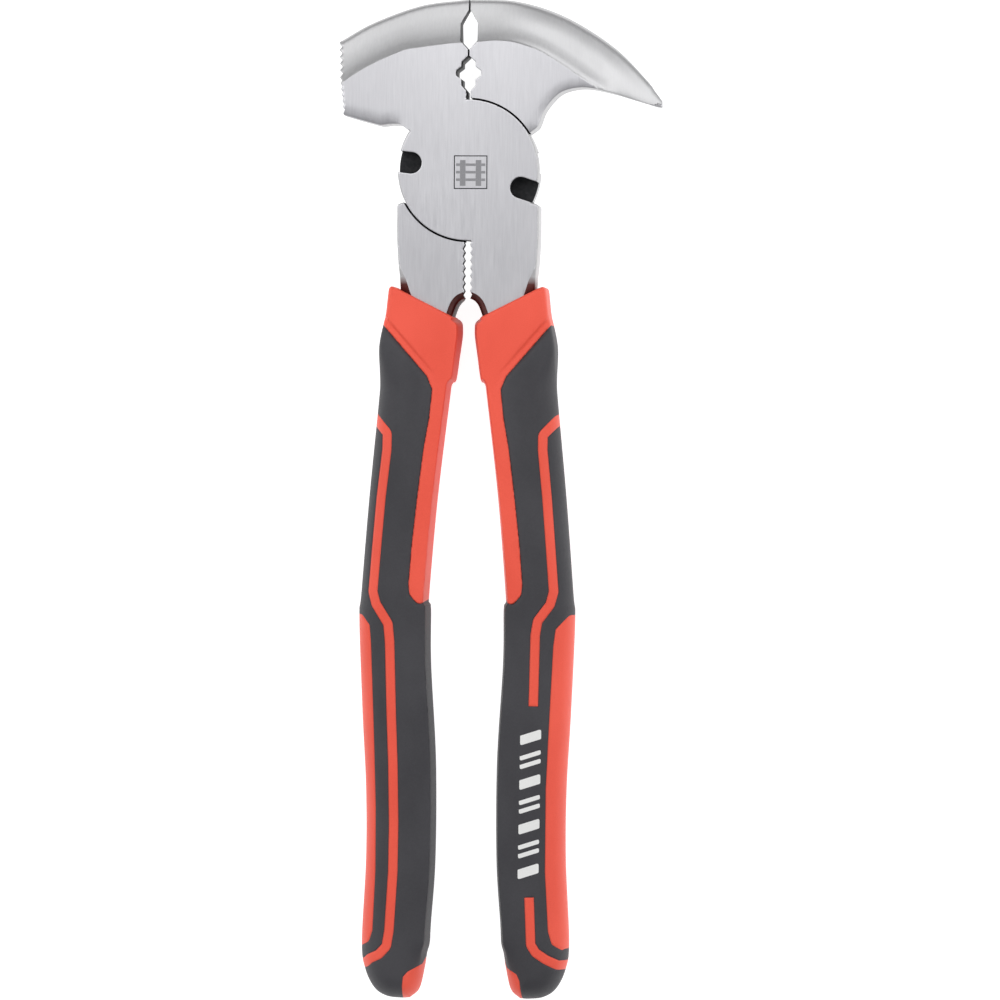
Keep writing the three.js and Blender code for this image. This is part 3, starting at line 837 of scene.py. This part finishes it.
class Nodes:
    """Short ways to add shader nodes to one material."""

    def __init__(self, name):
        self.material = bpy.data.materials.new(name)
        self.material.use_nodes = True
        self.tree = self.material.node_tree
        self.shader = self.tree.nodes["Principled BSDF"]
        self.place = self.add("ShaderNodeTexCoord").outputs["Object"]

    def add(self, kind, **values):
        node = self.tree.nodes.new(kind)
        for key, value in values.items():
            if hasattr(node, key):
                setattr(node, key, value)
            else:
                self.put(node.inputs[key.replace("_", " ")], value)
        return node

    def put(self, socket, value):
        if isinstance(value, bpy.types.NodeSocket):
            self.tree.links.new(value, socket)
        else:
            socket.default_value = value

    def math(self, operation, a, b=0.0, c=0.0):
        node = self.add("ShaderNodeMath", operation=operation)
        for socket, value in zip(node.inputs, (a, b, c)):
            self.put(socket, value)
        return node.outputs[0]

    def noise(self, per_metre, detail=3.0, roughness=0.5):
        """Noise with its own number of waves a metre along X, Y and Z."""
        stretch = self.add("ShaderNodeVectorMath", operation="MULTIPLY")
        self.put(stretch.inputs[0], self.place)
        stretch.inputs[1].default_value = per_metre
        node = self.add("ShaderNodeTexNoise", Scale=1.0, Detail=detail, Roughness=roughness)
        self.put(node.inputs["Vector"], stretch.outputs[0])
        return node.outputs["Fac"]

    def span(self, value, low, high, to_low=0.0, to_high=1.0):
        node = self.add("ShaderNodeMapRange")
        for socket, number in zip(node.inputs, (value, low, high, to_low, to_high)):
            self.put(socket, number)
        return node.outputs[0]

    def mix(self, share, a, b):
        node = self.add("ShaderNodeMix", data_type="RGBA")
        self.put(node.inputs[0], share)
        for socket, value in ((node.inputs[6], a), (node.inputs[7], b)):
            self.put(socket, (*value, 1.0) if isinstance(value, tuple) else value)
        return node.outputs[2]

    def bump(self, height, strength, distance, before=None):
        node = self.add("ShaderNodeBump", Strength=strength, Distance=distance)
        self.put(node.inputs["Height"], height)
        if before is not None:
            self.put(node.inputs["Normal"], before)
        return node.outputs[0]

    def finish(self, colour, roughness, normal=None, **fixed):
        fill = (*colour, 1.0) if isinstance(colour, tuple) else colour
        self.put(self.shader.inputs["Base Color"], fill)
        self.put(self.shader.inputs["Roughness"], roughness)
        if normal is not None:
            self.put(self.shader.inputs["Normal"], normal)
        for key, value in fixed.items():
            self.shader.inputs[key.replace("_", " ")].default_value = value
        return self.material


def brushed_steel(name, light, dark, across, depth, low=0.30, high=0.44, bare=None):
    """Steel ground along the tool: streaks a few tenths wide and several millimetres long.

    If a bare colour is given, the steel's own colour fades to it between the two heights of the painted red
    reflection beside the collars.
    """
    n = Nodes(name)
    streaks = n.noise((across, 110, across), 4.0, 0.6)
    hairs = n.noise((across * 3.2, 190, across * 3.2), 2.0, 0.5)
    clouds = n.noise((45, 22, 45), 2.0, 0.5)
    grain = n.math("ADD", n.math("MULTIPLY", streaks, 0.6), n.math("MULTIPLY", hairs, 0.4))
    tone = n.math("ADD", n.math("MULTIPLY", grain, 0.75), n.math("MULTIPLY", clouds, 0.25))
    colour = n.mix(n.span(tone, 0.35, 0.65), dark, light)
    if bare is not None:
        # The painted red reflection fades to bare steel up the tang, away from the collars.
        height = n.add("ShaderNodeSeparateXYZ", Vector=n.place).outputs["Y"]
        colour = n.mix(n.span(height, REFLECTION_FULL * MM, REFLECTION_TOP * MM), colour, bare)
    roughness = n.span(grain, 0.3, 0.7, low, high)
    normal = n.bump(grain, depth, GRAIN)
    return n.finish(colour, roughness, normal, Metallic=1.0, Anisotropic=0.35)


def black_oxide():
    n = Nodes("Blackened inner walls")
    mottle = n.noise((900, 900, 900), 4.0, 0.6)
    fine = n.noise((5200, 5200, 5200), 2.0, 0.5)
    colour = n.mix(n.span(mottle, 0.35, 0.7), (0.012, 0.013, 0.015), (0.03, 0.03, 0.032))
    roughness = n.span(fine, 0.3, 0.7, 0.45, 0.62)
    return n.finish(colour, roughness, n.bump(fine, 0.3, 0.00005), Metallic=0.6)


def etched_steel():
    n = Nodes("Etched mark")
    fine = n.noise((6000, 6000, 6000), 2.0, 0.6)
    colour = n.mix(n.span(fine, 0.3, 0.7), (0.24, 0.24, 0.25), (0.33, 0.33, 0.34))
    return n.finish(colour, 0.62, n.bump(fine, 0.4, 0.00003), Metallic=0.8)


def moulded(name, light, dark, low, high, grain_depth, specular):
    """Moulded rubber or plastic: slow mottle, a fine spark-eroded grain and small pores."""
    n = Nodes(name)
    mottle = n.noise((70, 40, 70), 3.0, 0.5)
    grain = n.noise((3600, 3600, 3600), 3.0, 0.6)
    pores = n.noise((1300, 1300, 1300), 2.0, 0.5)
    tone = n.math("ADD", n.math("MULTIPLY", mottle, 0.6), n.math("MULTIPLY", grain, 0.4))
    colour = n.mix(n.span(tone, 0.38, 0.62), dark, light)
    texture = n.math("ADD", grain, n.math("MULTIPLY", pores, 0.5))
    roughness = n.span(texture, 0.5, 1.0, low, high)
    normal = n.bump(texture, grain_depth, GRAIN)
    return n.finish(colour, roughness, normal, Specular_IOR_Level=specular)


STEEL = brushed_steel("Ground flats", (0.56, 0.558, 0.575), (0.48, 0.478, 0.495), 2300, 0.35)
STEEL_BEVEL = brushed_steel("Polished bevels", (0.53, 0.53, 0.533), (0.465, 0.465, 0.469), 1500, 0.16,
                            0.38, 0.50)
STEEL_SIDE = brushed_steel("Outer edges", (0.46, 0.46, 0.465), (0.38, 0.38, 0.385), 1500, 0.2)
# Dark red-brown steel by the collars and in the throat: a dark finish with a painted reflection of the red
# grips, fading to bare steel up the tang.
DARK_STEEL_PAINTED_REFLECTION = brushed_steel("Dark steel with painted red reflection", (0.105, 0.042, 0.039), (0.07, 0.028, 0.026), 1500, 0.2,
                             bare=(0.42, 0.42, 0.425))
RIVET_STEEL = brushed_steel("Ground rivet", (0.70, 0.70, 0.72), (0.60, 0.60, 0.62), 2500, 0.3)
BLACK = black_oxide()
ETCH = etched_steel()
RED = moulded("Red satin moulding", (0.88, 0.105, 0.062), (0.80, 0.085, 0.048),
              0.42, 0.54, 0.15, 0.32)
GREY = moulded("Dark soft moulding", (0.050, 0.049, 0.055), (0.034, 0.033, 0.038),
               0.52, 0.68, 0.32, 0.4)
INK = moulded("White print", (0.86, 0.86, 0.84), (0.78, 0.78, 0.76), 0.45, 0.6, 0.1, 0.3)


# ------------------------------------------------------------------ the pliers

def place(thing, body, slot, *nodes):
    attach(thing, body)
    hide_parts(*nodes)


def turn_over(thing):
    """Half a turn about the line through the joint's middle, along the tool."""
    middle = Vector((0, 0, MIDDLE * MM))
    turn = Matrix.Translation(middle) @ Matrix.Rotation(math.pi, 4, "Y") @ Matrix.Translation(-middle)
    thing.data.transform(turn)
    thing.data.update()


steels = [STEEL, STEEL_BEVEL, BLACK, ETCH, STEEL_SIDE, DARK_STEEL_PAINTED_REFLECTION]
front_half = steel_half("front_half_forging", False, steels, badge())
place(front_half, "front", "forged_steel", "front_half")
rear_half = steel_half("rear_half_forging", True, steels)
turn_over(rear_half)
place(rear_half, "rear", "forged_steel", "rear_half")

rivet = lathe("pivot_rivet_turned", [
    (0, 0.03), (RIVET_HEAD - 0.5, 0.0), (RIVET_HEAD - 0.2, 0.05), (RIVET_HEAD - 0.05, 0.18),
    (RIVET_HEAD, 0.4), (SHANK + 0.15, 2.5), (SHANK, 2.8), (SHANK, RIVET_LENGTH - 0.5),
    (SHANK - 0.15, RIVET_LENGTH - 0.15), (SHANK - 0.5, RIVET_LENGTH), (0, RIVET_LENGTH)], RIVET_STEEL)
place(rivet, "front", "rivet_steel", "pivot_rivet")

GRIP_SURFACE = grip_surface()
GRIP_NORMALS = point_normals(*GRIP_SURFACE[:2])
for side, body, turned in (("right", "front", False), ("left", "rear", True)):
    core, cover = grip_pieces(side, turned, RED, [GREY, INK])
    place(core, body, "red_grip", f"{side}_grip_core")
    place(cover, body, "dark_grip", f"{side}_grip_cover")


# ------------------------------------------------------------------ floor, light and camera

# Half the floor's side, in metres.
REACH = 4
floor_mesh = bpy.data.meshes.new("floor")
floor_mesh.from_pydata([(-REACH, -REACH, FLOOR), (REACH, -REACH, FLOOR), (REACH, REACH, FLOOR),
                        (-REACH, REACH, FLOOR)], [], [(0, 1, 2, 3)])
floor = bpy.data.objects.new("floor", floor_mesh)
bpy.context.collection.objects.link(floor)
paper = bpy.data.materials.new("White paper")
paper.use_nodes = True
surface = paper.node_tree.nodes["Principled BSDF"]
surface.inputs["Base Color"].default_value = (0.5, 0.5, 0.5, 1)
surface.inputs["Roughness"].default_value = 0.9
surface.inputs["Specular IOR Level"].default_value = 0.0
surface.inputs["Emission Color"].default_value = (1, 1, 1, 1)
surface.inputs["Emission Strength"].default_value = 0.9
floor_mesh.materials.append(paper)

world = bpy.data.worlds.new("Studio")
world.use_nodes = True
bpy.context.scene.world = world
sky = world.node_tree
background = sky.nodes["Background"]
where = sky.nodes.new("ShaderNodeTexCoord")
split = sky.nodes.new("ShaderNodeSeparateXYZ")
sky.links.new(where.outputs["Generated"], split.inputs[0])
ramp = sky.nodes.new("ShaderNodeValToRGB")
sky.links.new(split.outputs["Z"], ramp.inputs[0])
ramp.color_ramp.elements[0].position = 0.0
ramp.color_ramp.elements[0].color = (0.42, 0.42, 0.425, 1)
ramp.color_ramp.elements[1].position = 0.9
ramp.color_ramp.elements[1].color = (0.50, 0.50, 0.515, 1)
sky.links.new(ramp.outputs[0], background.inputs["Color"])
background.inputs["Strength"].default_value = 1.0


def soft_light(name, place_at, aim, width, height, watts):
    data = bpy.data.lights.new(name, "AREA")
    data.shape = "RECTANGLE"
    data.size, data.size_y, data.energy = width, height, watts
    lamp = bpy.data.objects.new(name, data)
    lamp.location = place_at
    lamp.rotation_euler = (Vector(aim) - Vector(place_at)).to_track_quat("-Z", "Y").to_euler()
    lamp.visible_camera = False
    bpy.context.collection.objects.link(lamp)


soft_light("head_panel", (0.0, 0.16, 0.55), (0, 0.16, 0), 1.2, 0.22, 1.25)
soft_light("back_panel", (0.0, 0.44, 0.55), (0, 0.3, 0), 1.2, 0.3, 0.72)
soft_light("left_softbox", (-1.1, 0.0, 0.9), (0, -0.05, 0), 1.0, 1.6, 5)
soft_light("right_softbox", (1.1, 0.0, 0.9), (0, -0.05, 0), 1.0, 1.6, 5)

# The point aimed at, how far off the camera is, and how wide the view is there, in metres.
AIM = Vector((9.05, -88.0, 14.0)) * MM
DISTANCE = 2.27
VIEW_WIDTH = 0.2667
SENSOR_WIDTH = 36
YAW = math.radians(3.8)
ROLL = math.radians(0.32)
back = Vector((math.sin(YAW), 0, math.cos(YAW)))
level = Vector((math.cos(YAW), 0, -math.sin(YAW)))
right = level * math.cos(ROLL) + Vector((0, math.sin(ROLL), 0))
up = back.cross(right)
camera_data = bpy.data.cameras.new("camera")
camera_data.sensor_width = SENSOR_WIDTH
camera_data.lens = SENSOR_WIDTH * DISTANCE / VIEW_WIDTH
camera_data.clip_end = 50
camera = bpy.data.objects.new("camera", camera_data)
camera.matrix_world = Matrix.Translation(AIM + back * DISTANCE) @ Matrix(
    (right, up, back)).transposed().to_4x4()
bpy.context.collection.objects.link(camera)
bpy.context.scene.camera = camera
bpy.context.scene.view_settings.view_transform = "Standard"
